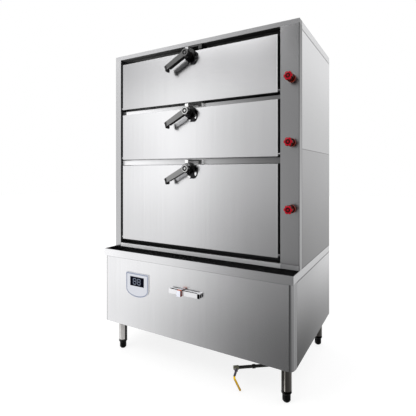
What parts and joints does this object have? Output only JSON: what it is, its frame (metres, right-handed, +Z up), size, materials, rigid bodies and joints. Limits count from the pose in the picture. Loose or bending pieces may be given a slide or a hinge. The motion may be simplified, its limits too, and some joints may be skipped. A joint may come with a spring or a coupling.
{
  "type": "commercial electric steamer",
  "caption": "Stainless steel commercial steam cabinet with three drop-down doors, latch levers, red steam knobs and a generator base on levelling legs",
  "frame": {"origin": "on the floor under the middle of the overall envelope", "axes": "+X to the right as seen from the front, +Y to the back (the doors face -Y), +Z up"},
  "size_m": [1.2, 0.8644, 1.85],
  "materials": {
    "brushed_stainless": "satin",
    "inner_stainless": "mill finish",
    "polished_stainless": "polished",
    "cast_latch_metal": "polished dark casting",
    "satin_latch_metal": "satin",
    "black_plastic": "matte",
    "gasket_rubber": "matte",
    "red_plastic": "gloss",
    "bezel_plastic": "satin",
    "display_black": "gloss",
    "copper_slider": "gloss",
    "brass_fitting": "machined",
    "dark_pipe": "satin black",
    "olive_valve": "satin",
    "yellow_grip": "dipped vinyl",
    "coil_windings": "lacquered windings",
    "grey_enamel": "powder coat"
  },
  "bodies": {
    "cabinet": {"base_back_panel": "brushed_stainless", "base_corner_left": "brushed_stainless", "base_corner_right": "brushed_stainless", "base_deck": "brushed_stainless", "base_floor": "inner_stainless", "base_front_panel": "brushed_stainless", "base_side_left": "brushed_stainless", "base_side_right": "brushed_stainless", "cabinet_back": "brushed_stainless", "cabinet_side_left": "brushed_stainless", "cabinet_side_right": "brushed_stainless", "cable_gland": "black_plastic", "chamber_bottom": "inner_stainless", "chamber_middle": "inner_stainless", "chamber_top": "inner_stainless", "control_bezel": "bezel_plastic", "crossbar_lower": "brushed_stainless", "crossbar_upper": "brushed_stainless", "display_window": "display_black", "drain_pipe": "dark_pipe", "drain_valve": "olive_valve", "face_frame": "brushed_stainless", "induction_coil": "coil_windings", "inlet_valve": "brass_fitting", "keeper_bottom": "polished_stainless", "keeper_middle": "polished_stainless", "keeper_top": "polished_stainless", "leg_back_left": "brushed_stainless", "leg_back_right": "brushed_stainless", "leg_front_left": "brushed_stainless", "leg_front_right": "brushed_stainless", "power_module": "grey_enamel", "roof_cover": "brushed_stainless", "steam_manifold": "inner_stainless", "switch_rail": "polished_stainless", "water_tank": "inner_stainless"},
    "door_top_leaf": {"door_top": "brushed_stainless", "gasket_top": "gasket_rubber", "latch_base_top": "cast_latch_metal"},
    "door_middle_leaf": {"door_middle": "brushed_stainless", "gasket_middle": "gasket_rubber", "latch_base_middle": "cast_latch_metal"},
    "door_bottom_leaf": {"door_bottom": "brushed_stainless", "gasket_bottom": "gasket_rubber", "latch_base_bottom": "cast_latch_metal"},
    "latch_top_lever": {"latch_lever_top": "satin_latch_metal"},
    "latch_middle_lever": {"latch_lever_middle": "satin_latch_metal"},
    "latch_bottom_lever": {"latch_lever_bottom": "satin_latch_metal"},
    "knob_top": {"steam_knob_top": "red_plastic"},
    "knob_middle": {"steam_knob_middle": "red_plastic"},
    "knob_bottom": {"steam_knob_bottom": "red_plastic"},
    "power_slider": {"switch_slider": "copper_slider"},
    "drain_handle": {"drain_lever": "polished_stainless", "drain_grip": "yellow_grip"},
    "foot_front_left_screw": {"foot_front_left": "black_plastic"},
    "foot_front_right_screw": {"foot_front_right": "black_plastic"},
    "foot_back_left_screw": {"foot_back_left": "black_plastic"},
    "foot_back_right_screw": {"foot_back_right": "black_plastic"},
    "fan": {"fan_rotor": "black_plastic"},
    "float": {"float_arm": "brass_fitting"}
  },
  "joints": [
    {"name": "door_top_drop", "type": "hinge", "parent": "cabinet", "child": "door_top_leaf", "pos_m": [-0.0265, -0.288, 1.514], "axis": [1, 0, 0], "range_deg": [0, 90]},
    {"name": "door_middle_drop", "type": "hinge", "parent": "cabinet", "child": "door_middle_leaf", "pos_m": [-0.0265, -0.288, 1.197], "axis": [1, 0, 0], "range_deg": [0, 90]},
    {"name": "door_bottom_drop", "type": "hinge", "parent": "cabinet", "child": "door_bottom_leaf", "pos_m": [-0.0265, -0.288, 0.692], "axis": [1, 0, 0], "range_deg": [0, 90]},
    {"name": "latch_top_turn", "type": "hinge", "parent": "door_top_leaf", "child": "latch_top_lever", "pos_m": [-0.0265, -0.32, 1.773], "axis": [0, 1, 0], "range_deg": [0, 80]},
    {"name": "latch_middle_turn", "type": "hinge", "parent": "door_middle_leaf", "child": "latch_middle_lever", "pos_m": [-0.0265, -0.32, 1.449], "axis": [0, 1, 0], "range_deg": [0, 80]},
    {"name": "latch_bottom_turn", "type": "hinge", "parent": "door_bottom_leaf", "child": "latch_bottom_lever", "pos_m": [-0.0265, -0.32, 1.127], "axis": [0, 1, 0], "range_deg": [0, 80]},
    {"name": "knob_top_turn", "type": "hinge", "parent": "cabinet", "child": "knob_top", "pos_m": [0.56, -0.32, 1.564], "axis": [0, 1, 0], "range_deg": [0, 270]},
    {"name": "knob_middle_turn", "type": "hinge", "parent": "cabinet", "child": "knob_middle", "pos_m": [0.56, -0.32, 1.251], "axis": [0, 1, 0], "range_deg": [0, 270]},
    {"name": "knob_bottom_turn", "type": "hinge", "parent": "cabinet", "child": "knob_bottom", "pos_m": [0.56, -0.32, 0.928], "axis": [0, 1, 0], "range_deg": [0, 270]},
    {"name": "power_slide", "type": "slide", "parent": "cabinet", "child": "power_slider", "axis": [1, 0, 0], "range_m": [-0.06, 0.085]},
    {"name": "drain_turn", "type": "hinge", "parent": "cabinet", "child": "drain_handle", "pos_m": [0.30186, -0.38223, 0.111], "axis": [0.6115, -0.7912, 0], "range_deg": [0, 90]},
    {"name": "foot_front_left_level", "type": "slide", "parent": "cabinet", "child": "foot_front_left_screw", "axis": [0, 0, 1], "range_m": [-0.025, 0]},
    {"name": "foot_front_right_level", "type": "slide", "parent": "cabinet", "child": "foot_front_right_screw", "axis": [0, 0, 1], "range_m": [-0.025, 0]},
    {"name": "foot_back_left_level", "type": "slide", "parent": "cabinet", "child": "foot_back_left_screw", "axis": [0, 0, 1], "range_m": [-0.025, 0]},
    {"name": "foot_back_right_level", "type": "slide", "parent": "cabinet", "child": "foot_back_right_screw", "axis": [0, 0, 1], "range_m": [-0.025, 0]},
    {"name": "fan_spin", "type": "hinge", "parent": "cabinet", "child": "fan", "pos_m": [-0.46, 0.3255, 0.2936], "axis": [0, 1, 0], "continuous": true},
    {"name": "float_rise", "type": "hinge", "parent": "cabinet", "child": "float", "pos_m": [0.2, 0.254, 0.51], "axis": [-1, 0, 0], "range_deg": [0, 30]}
  ]
}
